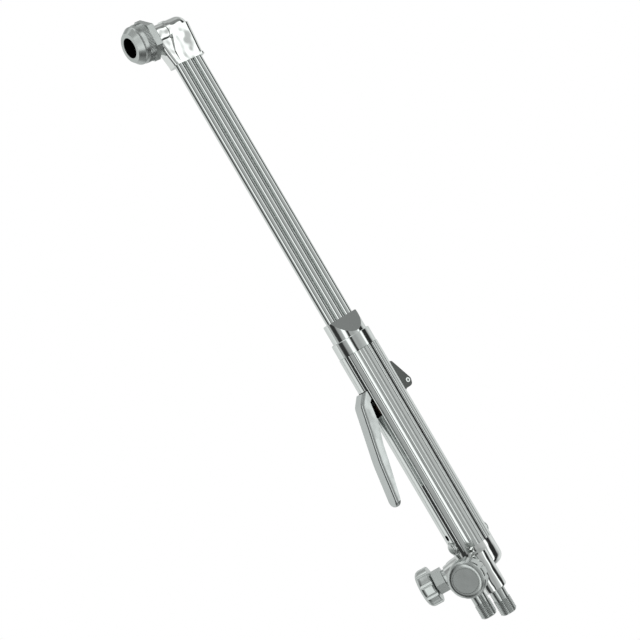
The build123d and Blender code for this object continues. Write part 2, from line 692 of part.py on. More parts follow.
gland_nut_front_x = valve_front_x - GLAND_NUT_LENGTH
with BuildPart() as plunger_gland_nut:
    with BuildSketch(Plane.YZ.offset(gland_nut_front_x)):
        RegularPolygon(GLAND_NUT_D / 2, 6)
    extrude(amount=GLAND_NUT_LENGTH)
    bar((valve_front_x, 0, 0), (gland_packing_front_x, 0, 0), GLAND_BORE_D - 2 * THREAD)
    bar(
        (gland_nut_front_x, 0, 0),
        (gland_packing_front_x, 0, 0),
        PLUNGER_D + 2 * RUNNING,
        Mode.SUBTRACT,
    )
save(plunger_gland_nut, "plunger_gland_nut")

disc_front_x = orifice_rear_x + FACE_GAP
poppet_front_x = disc_front_x + SEAT_DISC_THICKNESS
poppet_rear_x = poppet_front_x + POPPET_LENGTH
neck_start_x = disc_front_x - (PLUNGER_NECK_LENGTH - POPPET_LENGTH - SEAT_DISC_THICKNESS)
neck_end_x = neck_start_x + PLUNGER_NECK_LENGTH - HOLE_SPARE
plunger_tip_x = arm_rear_x + PLUNGER_GAP

with BuildPart() as cutting_plunger:
    bar((plunger_tip_x, 0, 0), (neck_start_x, 0, 0), PLUNGER_D)
    fillet(cutting_plunger.edges().sort_by(Axis.X)[0], PLUNGER_D / 2 - 0.5)
    bar((neck_start_x, 0, 0), (neck_end_x, 0, 0), PLUNGER_NECK_D)
save(cutting_plunger, "cutting_plunger")

with BuildPart() as valve_poppet:
    bar((poppet_front_x, 0, 0), (poppet_rear_x, 0, 0), POPPET_D)
    bar((poppet_rear_x, 0, 0), (poppet_rear_x + SPRING_GUIDE_LENGTH, 0, 0), SPRING_GUIDE_D)
    bar((poppet_front_x, 0, 0), (neck_end_x, 0, 0), PLUNGER_NECK_D + 2 * THREAD, Mode.SUBTRACT)
save(valve_poppet, "valve_poppet")

with BuildPart() as valve_seat_disc:
    bar((disc_front_x, 0, 0), (poppet_front_x, 0, 0), POPPET_D)
    bar((disc_front_x, 0, 0), (poppet_front_x, 0, 0), PLUNGER_NECK_D + 2 * THREAD, Mode.SUBTRACT)
save(valve_seat_disc, "valve_seat_disc")

cap_spigot_x = valve_rear_x - CAP_SPIGOT
cap_rear_x = valve_rear_x + CAP_LENGTH
with BuildPart() as valve_cap:
    bar((cap_spigot_x, 0, 0), (valve_rear_x, 0, 0), INLET_CHAMBER_D - 2 * THREAD)
    bar((valve_rear_x, 0, 0), (cap_rear_x, 0, 0), VALVE_BODY_D)
    bar((cap_spigot_x, 0, 0), (cap_rear_x, 0, 0), GAS_WAY, Mode.SUBTRACT)
    bar((cap_rear_x - PIPE_SOCKET, 0, 0), (cap_rear_x, 0, 0), PIPE_D + 2 * BRAZE, Mode.SUBTRACT)
save(valve_cap, "valve_cap")

# The spring fills the space from the poppet's shoulder to the cap's spigot.
coil_radius = (SPRING_D - SPRING_WIRE) / 2
coil_front_x = poppet_rear_x + SPRING_WIRE / 2 + FACE_GAP
coil_length = cap_spigot_x - poppet_rear_x - SPRING_WIRE - 2 * FACE_GAP
with BuildPart() as cutting_valve_spring:
    with BuildLine():
        coil = Helix(
            pitch=coil_length / SPRING_TURNS,
            height=coil_length,
            radius=coil_radius,
            center=(coil_front_x, 0, 0),
            direction=(1, 0, 0),
        )
    with BuildSketch(Plane(origin=coil @ 0, z_dir=coil % 0)):
        Circle(SPRING_WIRE / 2)
    sweep(path=coil, is_frenet=True)
save(cutting_valve_spring, "cutting_valve_spring")

# ---------------------------------------------------------------- pipes in the handle
pipe_runs = {
    "cutting_supply_pipe": (cap_rear_x - PIPE_SOCKET, spigot_front + PIPE_SOCKET, axis_pipe),
    "cutting_delivery_pipe": (block_rear - PIPE_SOCKET, lug_front_x + PIPE_SOCKET, cutting_pipe),
    "preheat_oxygen_pipe": (block_rear - PIPE_SOCKET, spigot_front + PIPE_SOCKET, oxygen_pipe),
    "fuel_pipe": (block_rear - PIPE_SOCKET, spigot_front + PIPE_SOCKET, fuel_pipe),
}
for name, (start_x, end_x, line) in pipe_runs.items():
    with BuildPart() as pipe:
        bar(place(start_x, line), place(end_x, line), PIPE_D)
        bar(place(start_x, line), place(end_x, line), PIPE_D - 2 * PIPE_WALL, Mode.SUBTRACT)
    save(pipe, name)


# ---------------------------------------------------------------- rear body
# The valve body behind the grip: a spigot in the handle, a round-shouldered core, two
# inlet bosses side by side and two valve bosses pointing down and out.
def valve_direction(side):
    """The outward direction of one gas valve: side -1 is oxygen, and side 1 is fuel gas."""
    return Vector(0, side * sin(radians(VALVE_ANGLE)), -cos(radians(VALVE_ANGLE)))


def on_valve(side, distance):
    """A point on a gas valve's axis, at a distance out from the handle's axis."""
    out = valve_direction(side) * distance
    return (valve_x, out.Y, out.Z)


def valve_plane(side, distance):
    """A plane square to a gas valve's axis, facing outwards, with its x along the torch."""
    return Plane(origin=on_valve(side, distance), x_dir=(1, 0, 0), z_dir=valve_direction(side))


inlet_way_x = valve_x + INLET_WAY_SETBACK
with BuildPart() as rear_body:
    bar((handle_rear, 0, 0), (handle_rear + BODY_LENGTH, 0, 0), HANDLE_D)
    fillet(rear_body.edges().sort_by(Axis.X)[-1], BODY_SHOULDER)
    bar((spigot_front, 0, 0), (handle_rear, 0, 0), shell_bore - 2 * BRAZE)
    with BuildSketch(Plane.YZ.offset(handle_rear + BOSS_START)):
        with Locations((0, BOSS_Z)):
            Rectangle(2 * BOSS_Y, WEB_HEIGHT)
    extrude(amount=WEB_END - BOSS_START)
    for side in (-1, 1):
        boss_foot = (handle_rear + BOSS_START, side * BOSS_Y, BOSS_Z)
        boss_face = (inlet_face, side * BOSS_Y, BOSS_Z)
        bar(boss_foot, boss_face, BOSS_D)
    fillet(rear_body.faces().filter_by(Axis.X).group_by(Axis.X)[-1].edges(), BOSS_ROUND)
    for side in (-1, 1):
        with BuildSketch(valve_plane(side, ROOT_AT)):
            Circle(ROOT_D / 2)
        with BuildSketch(valve_plane(side, TOP_AT)):
            Circle(TOP_D / 2)
        loft()
    for side, pipe in ((-1, oxygen_pipe), (1, fuel_pipe)):
        inlet_line = (side * BOSS_Y, BOSS_Z)
        spigot_floor = place(inlet_face - INLET_SPIGOT_LENGTH, inlet_line)
        bar(place(inlet_face, inlet_line), spigot_floor, INLET_SPIGOT_D + 2 * THREAD, Mode.SUBTRACT)
        bar(spigot_floor, place(valve_x, inlet_line), INLET_BORE, Mode.SUBTRACT)
        bar(on_valve(side, SEAT_AT), on_valve(side, TOP_AT), STEM_BORE_D, Mode.SUBTRACT)
        bar(on_valve(side, PACKING_AT), on_valve(side, TOP_AT), PACKING_BORE_D, Mode.SUBTRACT)
        bar(on_valve(side, WAY_AT), on_valve(side, SEAT_AT), SEAT_HOLE_D, Mode.SUBTRACT)
        pipe_floor = place(spigot_front + PIPE_SOCKET, pipe)
        bar(place(spigot_front, pipe), pipe_floor, PIPE_D + 2 * BRAZE, Mode.SUBTRACT)
        bar(pipe_floor, on_valve(side, (WAY_AT + SEAT_AT) / 2), GAS_WAY, Mode.SUBTRACT)
        outward = notch_direction(side)
        pocket_floor = outward * (shell_bore / 2 - NOTCH_POCKET)
        pocket_mouth = outward * HANDLE_D / 2
        bar(
            (notch_x, pocket_floor.Y, pocket_floor.Z),
            (notch_x, pocket_mouth.Y, pocket_mouth.Z),
            NOTCH_D,
            Mode.SUBTRACT,
        )
    # Cutting oxygen leaves the inlet way before the preheat valve, and runs to the axis
    bar((inlet_way_x, -BOSS_Y, BOSS_Z), (inlet_way_x, 0, 0), GAS_WAY, Mode.SUBTRACT)
    bar((inlet_way_x, 0, 0), (spigot_front, 0, 0), GAS_WAY, Mode.SUBTRACT)
    bar((spigot_front, 0, 0), (spigot_front + PIPE_SOCKET, 0, 0), PIPE_D + 2 * BRAZE, Mode.SUBTRACT)
    for side in (1, -1):
        screw_mouth = (screw_x, 0, side * HANDLE_D / 2)
        screw_floor = (screw_x, 0, side * (screw_seat_height - SCREW_LENGTH - HOLE_SPARE))
        bar(screw_floor, screw_mouth, SCREW_D + 2 * THREAD, Mode.SUBTRACT)
save(rear_body, "rear_body")

with BuildPart() as handle_screws:
    for side in (1, -1):
        head_foot = (screw_x, 0, side * screw_seat_height)
        head_top = (screw_x, 0, side * (screw_seat_height + SCREW_HEAD_HEIGHT))
        shank_end = (screw_x, 0, side * (screw_seat_height - SCREW_LENGTH))
        bar(head_foot, head_top, SCREW_HEAD_D)
        rims = handle_screws.edges().filter_by(GeomType.CIRCLE)
        fillet(rims.sort_by_distance(head_top)[0], SCREW_HEAD_ROUND)
        bar(head_foot, shank_end, SCREW_D)
save(handle_screws, "handle_screws")

# ---------------------------------------------------------------- hose inlets
thread_start = inlet_face + INLET_NECK_LENGTH
inlet_end = thread_start + INLET_THREAD_LENGTH
for side, gas in ((-1, "oxygen"), (1, "fuel")):
    line = (side * BOSS_Y, BOSS_Z)
    spigot_start = place(inlet_face - INLET_SPIGOT_LENGTH, line)
    with BuildPart() as inlet:
        bar(place(thread_start, line), place(inlet_end, line), INLET_THREAD_D)
        chamfer(inlet.edges().filter_by(GeomType.CIRCLE), INLET_THREAD_CHAMFER)
        bar(place(inlet_face, line), place(thread_start + INLET_THREAD_CHAMFER, line), INLET_NECK_D)
        bar(spigot_start, place(inlet_face, line), INLET_SPIGOT_D)
        bar(spigot_start, place(inlet_end, line), INLET_BORE, Mode.SUBTRACT)
        mouth = inlet.edges().filter_by(GeomType.CIRCLE).sort_by_distance(place(inlet_end, line))[0]
        chamfer(mouth, (INLET_CONE_D - INLET_BORE) / 2)
    save(inlet, f"{gas}_inlet")

# ---------------------------------------------------------------- gas valves
packing_top_at = PACKING_AT + PACKING_THICKNESS
hex_at = TOP_AT + NUT_COLLAR_HEIGHT
nut_top_at = hex_at + PACKING_NUT_HEIGHT
knob_at = nut_top_at + KNOB_GAP
knob_face_at = knob_at + KNOB_LENGTH
cap_floor_at = knob_face_at - KNOB_CAP_THICKNESS - FACE_GAP
screw_seat_at = STEM_TOP_AT + FACE_GAP
stem_hole = KNOB_SCREW_D + 2 * THREAD

for side, gas in ((-1, "oxygen"), (1, "fuel")):
    axis_foot = valve_plane(side, 0)
    with BuildPart() as stem:
        turn_profile(
            axis_foot,
            [
                (0, STEM_TIP_AT),
                (STEM_TIP_D / 2, STEM_TIP_AT),
                (STEM_D / 2, STEM_CONE_AT),
                (STEM_D / 2, STEM_THREAD_AT),
                (STEM_BORE_D / 2 - THREAD, STEM_THREAD_AT),
                (STEM_BORE_D / 2 - THREAD, STEM_THREAD_AT + STEM_THREAD_LENGTH),
                (STEM_D / 2, STEM_THREAD_AT + STEM_THREAD_LENGTH),
                (STEM_D / 2, STEM_TOP_AT),
                (0, STEM_TOP_AT),
            ],
        )
        hole_floor_at = STEM_TOP_AT - KNOB_SCREW_LENGTH - HOLE_SPARE
        bar(on_valve(side, hole_floor_at), on_valve(side, STEM_TOP_AT), stem_hole, Mode.SUBTRACT)
    save(stem, f"{gas}_stem")

    with BuildPart() as packing:
        packing_ends = (on_valve(side, PACKING_AT), on_valve(side, packing_top_at))
        bar(*packing_ends, PACKING_BORE_D - 2 * BRAZE)
        bar(*packing_ends, STEM_D + 2 * RUNNING, Mode.SUBTRACT)
    save(packing, f"{gas}_packing")

    with BuildPart() as packing_nut:
        bar(on_valve(side, packing_top_at), on_valve(side, TOP_AT), PACKING_BORE_D - 2 * THREAD)
        bar(on_valve(side, TOP_AT), on_valve(side, hex_at), NUT_COLLAR_D)
        with BuildSketch(valve_plane(side, hex_at)):
            RegularPolygon(PACKING_NUT_FLATS / 2, 6, major_radius=False, rotation=PACKING_NUT_TURN)
        extrude(amount=PACKING_NUT_HEIGHT)
        top_face = packing_nut.faces().sort_by_distance(on_valve(side, nut_top_at))[0]
        chamfer(top_face.edges(), PACKING_NUT_CHAMFER)
        nut_ends = (on_valve(side, packing_top_at), on_valve(side, nut_top_at))
        bar(*nut_ends, STEM_D + 2 * RUNNING, Mode.SUBTRACT)
    save(packing_nut, f"{gas}_packing_nut")

    with BuildPart() as knob:
        bar(on_valve(side, knob_at), on_valve(side, knob_face_at), KNOB_D)
        rims = knob.edges().filter_by(GeomType.CIRCLE)
        fillet(rims.sort_by_distance(on_valve(side, knob_face_at))[0], KNOB_ROUND)
        rims = knob.edges().filter_by(GeomType.CIRCLE)
        fillet(rims.sort_by_distance(on_valve(side, knob_at))[0], KNOB_BACK_ROUND)
        with BuildSketch(valve_plane(side, knob_at)):
            with PolarLocations(KNOB_D / 2 + KNOB_FLUTE_D / 2 - KNOB_FLUTE_DEPTH, KNOB_LOBES):
                Circle(KNOB_FLUTE_D / 2)
        extrude(amount=KNOB_LENGTH, mode=Mode.SUBTRACT)
        recess_ends = (on_valve(side, cap_floor_at), on_valve(side, knob_face_at))
        bar(*recess_ends, KNOB_CAP_D + 2 * FACE_GAP, Mode.SUBTRACT)
        pocket_ends = (on_valve(side, screw_seat_at), on_valve(side, knob_face_at))
        bar(*pocket_ends, KNOB_SCREW_HEAD_D + 2 * FACE_GAP, Mode.SUBTRACT)
        bore_ends = (on_valve(side, knob_at), on_valve(side, screw_seat_at))
        bar(*bore_ends, STEM_D + 2 * RUNNING, Mode.SUBTRACT)
    save(knob, f"{gas}_knob")

    with BuildPart() as knob_screw:
        screw_head_top = on_valve(side, screw_seat_at + KNOB_SCREW_HEAD_HEIGHT)
        bar(on_valve(side, screw_seat_at), screw_head_top, KNOB_SCREW_HEAD_D)
        screw_end = on_valve(side, STEM_TOP_AT - KNOB_SCREW_LENGTH)
        bar(screw_end, on_valve(side, screw_seat_at), KNOB_SCREW_D)
    save(knob_screw, f"{gas}_knob_screw")

    with BuildPart() as knob_cap:
        cap_ends = (on_valve(side, cap_floor_at), on_valve(side, cap_floor_at + KNOB_CAP_THICKNESS))
        bar(*cap_ends, KNOB_CAP_D)
        chamfer(knob_cap.edges(), KNOB_CAP_EDGE)
    save(knob_cap, f"{gas}_knob_cap")

print("overall length", round(inlet_end - tip_x + NUT_BARREL_D / 2, 1))
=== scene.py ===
# %% [markdown]
# # A hand cutting torch: looks and studio
# The torch is a right-angle head on three tubes, a fluted grip with a lever, two gas valves
# and two hose inlets. Its shapes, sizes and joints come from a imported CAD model, which this
# lesson loads first and never moves. Blender's work here is the surface: plated metal that is
# polished in some places and satin in others, a knurled band, real screw threads, and a studio
# whose light makes the long bands that bright metal shows.

import json
import math

import bmesh
import bpy
from mathutils import Matrix, Vector


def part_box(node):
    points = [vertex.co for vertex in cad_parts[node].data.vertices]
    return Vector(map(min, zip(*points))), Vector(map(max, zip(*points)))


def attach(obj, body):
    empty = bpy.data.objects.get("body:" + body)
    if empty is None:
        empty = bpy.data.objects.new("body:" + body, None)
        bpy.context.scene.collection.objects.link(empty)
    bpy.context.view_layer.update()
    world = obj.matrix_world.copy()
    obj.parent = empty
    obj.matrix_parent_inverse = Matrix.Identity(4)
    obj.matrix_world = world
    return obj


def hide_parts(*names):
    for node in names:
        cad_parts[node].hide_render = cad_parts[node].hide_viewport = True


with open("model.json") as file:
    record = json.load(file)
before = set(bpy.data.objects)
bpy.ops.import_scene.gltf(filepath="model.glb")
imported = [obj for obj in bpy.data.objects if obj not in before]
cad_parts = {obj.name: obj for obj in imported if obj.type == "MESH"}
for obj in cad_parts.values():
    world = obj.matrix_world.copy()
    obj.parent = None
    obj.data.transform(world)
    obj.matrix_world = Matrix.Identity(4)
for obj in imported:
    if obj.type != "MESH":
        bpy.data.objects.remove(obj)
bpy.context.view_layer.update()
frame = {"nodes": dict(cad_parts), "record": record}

# %% [markdown]
# ## Places
# Blender works in metres, and a maker thinks in millimetres, so one value turns one into the
# other. The tip nut's place could be typed in, but it is read from the CAD node's box, so that
# the Blender pieces move with the CAD model when it changes.

# %% Places that the pieces share
MM = 0.001
NUT_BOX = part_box("tip_nut")
TIP_X = (NUT_BOX[0].x + NUT_BOX[1].x) / 2
print("tip axis at x =", round(TIP_X, 4))

# %% [markdown]
# ## The camera
# The torch is seen from its near side and from below, so the open tip nut, the lever and the
# valve knobs face the viewer. A long lens from well over a metre away keeps the tubes nearly
# parallel. A camera could be turned by three angles, but they are hard to read, so this one is
# built from two directions: where it stands, and how the torch's length leans across the view.

# %% Camera
LOOK_FROM = Vector((0.0, -0.857, -0.515)).normalized()
LENGTH_LEAN = math.radians(59.55)
VIEW_DISTANCE = 1.25
LENS = 87.0
SENSOR_WIDTH = 36.0
FOCUS_X = -0.1272
FOCUS_DROP = 0.0141

length_way = Vector((1, 0, 0))
bracket_way = LOOK_FROM.cross(length_way)
focus = length_way * FOCUS_X - bracket_way * FOCUS_DROP
right = length_way * math.cos(LENGTH_LEAN) + bracket_way * math.sin(LENGTH_LEAN)
up = LOOK_FROM.cross(right)
camera_data = bpy.data.cameras.new("camera")
camera_data.lens = LENS
camera_data.sensor_width = SENSOR_WIDTH
camera = bpy.data.objects.new("camera", camera_data)
bpy.context.scene.collection.objects.link(camera)
pose = Matrix((right, up, LOOK_FROM)).transposed().to_4x4()
camera.matrix_world = Matrix.Translation(focus + LOOK_FROM * VIEW_DISTANCE) @ pose
bpy.context.scene.camera = camera
print("camera at", [round(v, 3) for v in camera.matrix_world.translation])

# %% [markdown]
# ## Node arithmetic
# A material's numbers change over the surface, and each sum is a Math node. Writing them as
# nodes hides the thought, so a small class lets a socket be used in ordinary arithmetic, and
# one method makes any other node from its type, its settings and its inputs.


# %% A socket that can be added, multiplied and compared
class Value:
    """A number in a node tree. Arithmetic on it adds Math nodes."""

    def __init__(self, tree, socket):
        self.tree = tree
        self.socket = socket

    def join(self, operation, left, right):
        """One Math node on two values, either of which may be a plain number."""
        node = self.tree.nodes.new("ShaderNodeMath")
        node.operation = operation
        for place, term in enumerate((left, right)):
            if isinstance(term, Value):
                self.tree.links.new(term.socket, node.inputs[place])
            else:
                node.inputs[place].default_value = term
        return Value(self.tree, node.outputs[0])

    def other(self, place):
        """Another output of the node that this value comes from."""
        return Value(self.tree, self.socket.node.outputs[place])

    def angle_over(self, base):
        """The angle whose rise is this value and whose run is the base."""
        return self.join("ARCTAN2", self, base)

    def __add__(self, other):
        return self.join("ADD", self, other)

    def __radd__(self, other):
        return self.join("ADD", other, self)

    def __sub__(self, other):
        return self.join("SUBTRACT", self, other)

    def __rsub__(self, other):
        return self.join("SUBTRACT", other, self)

    def __mul__(self, other):
        return self.join("MULTIPLY", self, other)

    def __rmul__(self, other):
        return self.join("MULTIPLY", other, self)

    def __truediv__(self, other):
        return self.join("DIVIDE", self, other)

    def __rtruediv__(self, other):
        return self.join("DIVIDE", other, self)

    def __pow__(self, other):
        return self.join("POWER", self, other)

    def __rpow__(self, other):
        return self.join("POWER", other, self)

    def __gt__(self, other):
        return self.join("GREATER_THAN", self, other)

    def __lt__(self, other):
        return self.join("LESS_THAN", self, other)


print("node arithmetic ready")


# %% One method for any other node
class Maker:
    """Adds nodes to one tree."""

    def __init__(self, tree):
        self.tree = tree
        tree.nodes.clear()

    def node(self, kind, settings=None, inputs=None, output=0):
        """A node of a type, its settings first, then its sockets, as values or links.

        A list of values is linked, in its order, to a socket that takes several links.
        """
        node = self.tree.nodes.new(kind)
        for name, value in (settings or {}).items():
            if name == "stops":
                self.set_stops(node.color_ramp, value)
            else:
                setattr(node, name, value)
        for name, value in (inputs or {}).items():
            socket = node.inputs[name]
            for term in value if isinstance(value, list) else [value]:
                if isinstance(term, Value):
                    self.tree.links.new(term.socket, socket)
                else:
                    socket.default_value = term
        return Value(self.tree, node.outputs[output]) if node.outputs else None

    def set_stops(self, ramp, stops):
        """Give a colour ramp its (position, colour) stops."""
        while len(ramp.elements) > 1:
            ramp.elements.remove(ramp.elements[-1])
        ramp.elements[0].position, ramp.elements[0].color = stops[0]
        for position, color in stops[1:]:
            ramp.elements.new(position).color = color

    def mix(self, factor, first, second, how="MIX"):
        """Two colours in one Mix node, whose sockets 0, 6 and 7 are its factor and colours."""
        settings = {"data_type": "RGBA", "blend_type": how}
        return self.node("ShaderNodeMix", settings, {0: factor, 6: first, 7: second}, output=2)


print("node helpers ready")

# %% [markdown]
# ## The studio
# Bright plating has hardly a colour of its own: one sees its surroundings. Round bars lying
# along one line turn the room into long stripes: a dark stripe high on the grip, a white one
# beside it, and calm greys below. Lamps and cards could be stood round the torch, but every
# stripe would then be a guess at a lamp's place. Here the room is a sky of bands that wrap
# round the torch's own length, each at a stated angle, and plain white shows behind the torch.

# %% Bands of light around the torch's length, and from its head to its rear
# Each row is an angle in degrees, from the camera's side towards the bracket, and a level.
BANDS = (
    (-180, 0.45),
    (-112, 0.60),
    (-101, 0.70),
    (-96, 0.22),
    (-90, 0.50),
    (-83, 0.20),
    (-80, 0.03),
    (-57, 0.03),
    (-52, 0.26),
    (-44, 0.30),
    (-31, 0.36),
    (-26, 1.00),
    (-12, 0.95),
    (-8, 0.34),
    (-5, 0.03),
    (4, 0.03),
    (8, 0.34),
    (25, 0.30),
    (40, 0.38),
    (58, 0.44),
    (63, 1.00),
    (71, 1.00),
    (75, 0.02),
    (102, 0.02),
    (107, 0.36),
    (125, 0.60),
    (180, 0.45),
)
# The bands are dimmed by ENDS and lit by END_GLOW, from 0 ahead of the head to 1 behind.
ENDS = (
    (0.0, 0.75),
    (0.03, 0.60),
    (0.08, 0.30),
    (0.16, 0.28),
    (0.22, 1.0),
    (0.80, 1.0),
    (0.87, 0.45),
    (0.93, 0.20),
    (1.0, 0.65),
)
END_GLOW = (
    (0.0, 0.40),
    (0.06, 0.20),
    (0.17, 0.16),
    (0.24, 0.0),
    (0.84, 0.0),
    (0.95, 0.10),
    (1.0, 0.20),
)
ROOM_TINT = (0.965, 1.0, 0.985, 1)
ROOM_STRENGTH = 1.4
WHITE = (1, 1, 1, 1)

world = bpy.data.worlds.new("studio")
bpy.context.scene.world = world
world.use_nodes = True
sky = Maker(world.node_tree)
direction = sky.node("ShaderNodeTexCoord")


def reach(way):
    """How far the looked-at direction runs along a given way, from -1 to 1."""
    settings = {"operation": "DOT_PRODUCT"}
    return sky.node("ShaderNodeVectorMath", settings, {0: direction, 1: way}, output=1)


def grey_ramp(levels, place):
    """A colour ramp of plain greys, from (place, level) pairs."""
    stops = [(at, (level, level, level, 1)) for at, level in levels]
    return sky.node("ShaderNodeValToRGB", {"stops": stops}, {"Fac": place})


print("studio bands:", len(BANDS))

# %% Join the bands into the world's light
around = reach(bracket_way).angle_over(reach(LOOK_FROM)) / (2 * math.pi) + 0.5
lengthwise = reach(length_way) * 0.5 + 0.5
bands = grey_ramp([((angle + 180) / 360, level) for angle, level in BANDS], around)
dimmed = sky.mix(1.0, bands, grey_ramp(ENDS, lengthwise), "MULTIPLY")
lit = sky.mix(1.0, dimmed, grey_ramp(END_GLOW, lengthwise), "ADD")
room = sky.mix(1.0, lit, ROOM_TINT, "MULTIPLY")
studio_light = sky.node("ShaderNodeBackground", inputs={"Color": room, "Strength": ROOM_STRENGTH})
white_back = sky.node("ShaderNodeBackground", inputs={"Color": WHITE, "Strength": 1.0})
seen = sky.node("ShaderNodeLightPath")
both = sky.node("ShaderNodeMixShader", inputs={0: seen, 1: studio_light, 2: white_back})
sky.node("ShaderNodeOutputWorld", inputs={"Surface": both})
bpy.context.scene.view_settings.view_transform = "Standard"
print("world nodes:", len(world.node_tree.nodes))

# %% [markdown]
# ## The floor and one soft lamp
# A pale floor lies well below the torch. It could mirror into the plating and cut the bands in
# two, so it is hidden from reflections. One lamp adds a gentle slope of light to the floor,
# and is hidden from reflections too, because a small bright lamp breaks into sparks on fine
# grain.

# %% Floor
FLOOR_Z = -0.64
FLOOR_HALF = 1.6
FLOOR_COLOR = (0.86, 0.86, 0.85, 1)
FLOOR_ROUGHNESS = 0.9
FLOOR_CORNERS = ((-1, -1), (1, -1), (1, 1), (-1, 1))

floor_mesh = bpy.data.meshes.new("floor")
corners = [(x * FLOOR_HALF, y * FLOOR_HALF, FLOOR_Z) for x, y in FLOOR_CORNERS]
floor_mesh.from_pydata(corners, [], [(0, 1, 2, 3)])
floor = bpy.data.objects.new("floor", floor_mesh)
bpy.context.scene.collection.objects.link(floor)
floor.visible_glossy = False
pale = bpy.data.materials.new("pale_floor")
pale.use_nodes = True
pale_maker = Maker(pale.node_tree)
pale_surface = pale_maker.node(
    "ShaderNodeBsdfPrincipled",
    inputs={"Base Color": FLOOR_COLOR, "Roughness": FLOOR_ROUGHNESS},
)
pale_maker.node("ShaderNodeOutputMaterial", inputs={"Surface": pale_surface})
floor_mesh.materials.append(pale)
print("floor at z =", FLOOR_Z)

# %% Soft lamp
LAMP_PLACE = Vector((-0.75, -0.75, -0.1))
LAMP_WIDTH = 0.5
LAMP_HEIGHT = 0.25
LAMP_WATTS = 6.0

lamp_data = bpy.data.lights.new("soft_lamp", "AREA")
lamp_data.shape = "RECTANGLE"
lamp_data.size = LAMP_WIDTH
lamp_data.size_y = LAMP_HEIGHT
lamp_data.energy = LAMP_WATTS
lamp = bpy.data.objects.new("soft_lamp", lamp_data)
bpy.context.scene.collection.objects.link(lamp)
lamp.visible_glossy = False
facing_torch = (LAMP_PLACE - focus).to_track_quat("Z", "Y").to_matrix().to_4x4()
lamp.matrix_world = Matrix.Translation(LAMP_PLACE) @ facing_torch
print("lamp of", LAMP_WATTS, "watts at", [round(v, 2) for v in LAMP_PLACE])

# %% [markdown]
# ## Painted shade in the bore
# No tip is fitted, so one looks through the nut at the head's seat, which lies in shade.
# That shade is painted: the seat and the nut's bore are coloured near black. The seat could be
# a piece of its own, but it is part of the head's forging, so a mask picks it out by its place:
# close to the tip's axis, below the nut's top edge. Inside the nut the mask steps outwards above
# the lip, where the bore widens for the thread.

# %% A mask for the painted shade in the tip nut's bore
BORE_RADIUS = 8.45 * MM
THREAD_STEP = 2.8 * MM
LIP_TOP_Z = NUT_BOX[0].z + 5.0 * MM
NUT_TOP_Z = NUT_BOX[1].z


def bore_shade_mask(make, place):
    """1 inside the tip nut's bore and on the head's seat above it, where shade is painted, and 0
    elsewhere.
    """
    along = make.node("ShaderNodeSeparateXYZ", inputs={0: place})
    across = along.other(1)
    height = along.other(2)
    run = along - TIP_X
    from_axis = (run * run + across * across) ** 0.5
    widened = BORE_RADIUS + (height > LIP_TOP_Z) * THREAD_STEP
    return (from_axis < widened) * (height < NUT_TOP_Z)


print("bore mask below z =", round(NUT_TOP_Z, 4))

# %% [markdown]
# ## Plated metal
# All the outside is nickel or chrome plate over brass or steel. What differs is the working of
# the metal under it: tubes are drawn and buffed along their length, forgings are polished all
# over but keep the slow swell of a hammered surface, and the knobs are satin. Each could be a
# material written by hand, but one function makes them all, from a tint, a roughness, the
# direction and size of the grain, and the height of the swell.

# %% Plated metal
CLOUD_SCALE = 55.0
SWELL_SCALE = 75.0
BUMP_METRES = 0.0001
SHADED = 0.93
# Painted shade in the tip nut's bore: a near-black colour, and a rise in roughness.
BORE_SHADE_COLOR = (0.02, 0.02, 0.02, 1)
BORE_SHADE_ROUGHNESS = 0.3


def plated(name, tint, roughness, spread, grain, grain_scale, depth, swell_height, bore_shaded):
    """Metal plate whose roughness drifts in clouds, with a fine grain that a scale stretches."""
    material = bpy.data.materials.new(name)
    material.use_nodes = True
    make = Maker(material.node_tree)
    place = make.node("ShaderNodeTexCoord", output=3)
    clouds = make.node(
        "ShaderNodeTexNoise",
        inputs={"Vector": place, "Scale": CLOUD_SCALE, "Detail": 4.0, "Roughness": 0.6},
    )
    stretched = make.node("ShaderNodeMapping", inputs={"Vector": place, "Scale": grain})
    lines = make.node(
        "ShaderNodeTexNoise",
        inputs={"Vector": stretched, "Scale": grain_scale, "Detail": 3.0, "Roughness": 0.65},
    )
    shade = [channel * SHADED for channel in tint]
    color = make.mix(clouds, (*tint, 1), (*shade, 1))
    rough = roughness + (clouds - 0.5) * spread + (lines - 0.5) * spread
    # Painted shade: inside the tip nut's bore the plate is coloured near black and made rougher.
    if bore_shaded:
        dark = bore_shade_mask(make, place)
        color = make.mix(dark, color, BORE_SHADE_COLOR)
        rough = rough + dark * BORE_SHADE_ROUGHNESS
    swell = make.node(
        "ShaderNodeTexNoise", inputs={"Vector": place, "Scale": SWELL_SCALE, "Detail": 1.0}
    )
    height = lines * depth + swell * swell_height
    bump = make.node(
        "ShaderNodeBump", inputs={"Strength": 1.0, "Distance": BUMP_METRES, "Height": height}
    )
    surface = make.node(
        "ShaderNodeBsdfPrincipled",
        inputs={"Base Color": color, "Metallic": 1.0, "Roughness": rough, "Normal": bump},
    )
    make.node("ShaderNodeOutputMaterial", inputs={"Surface": surface})
    return material


print("plate drifts in clouds of about", round(1000 / CLOUD_SCALE), "mm")

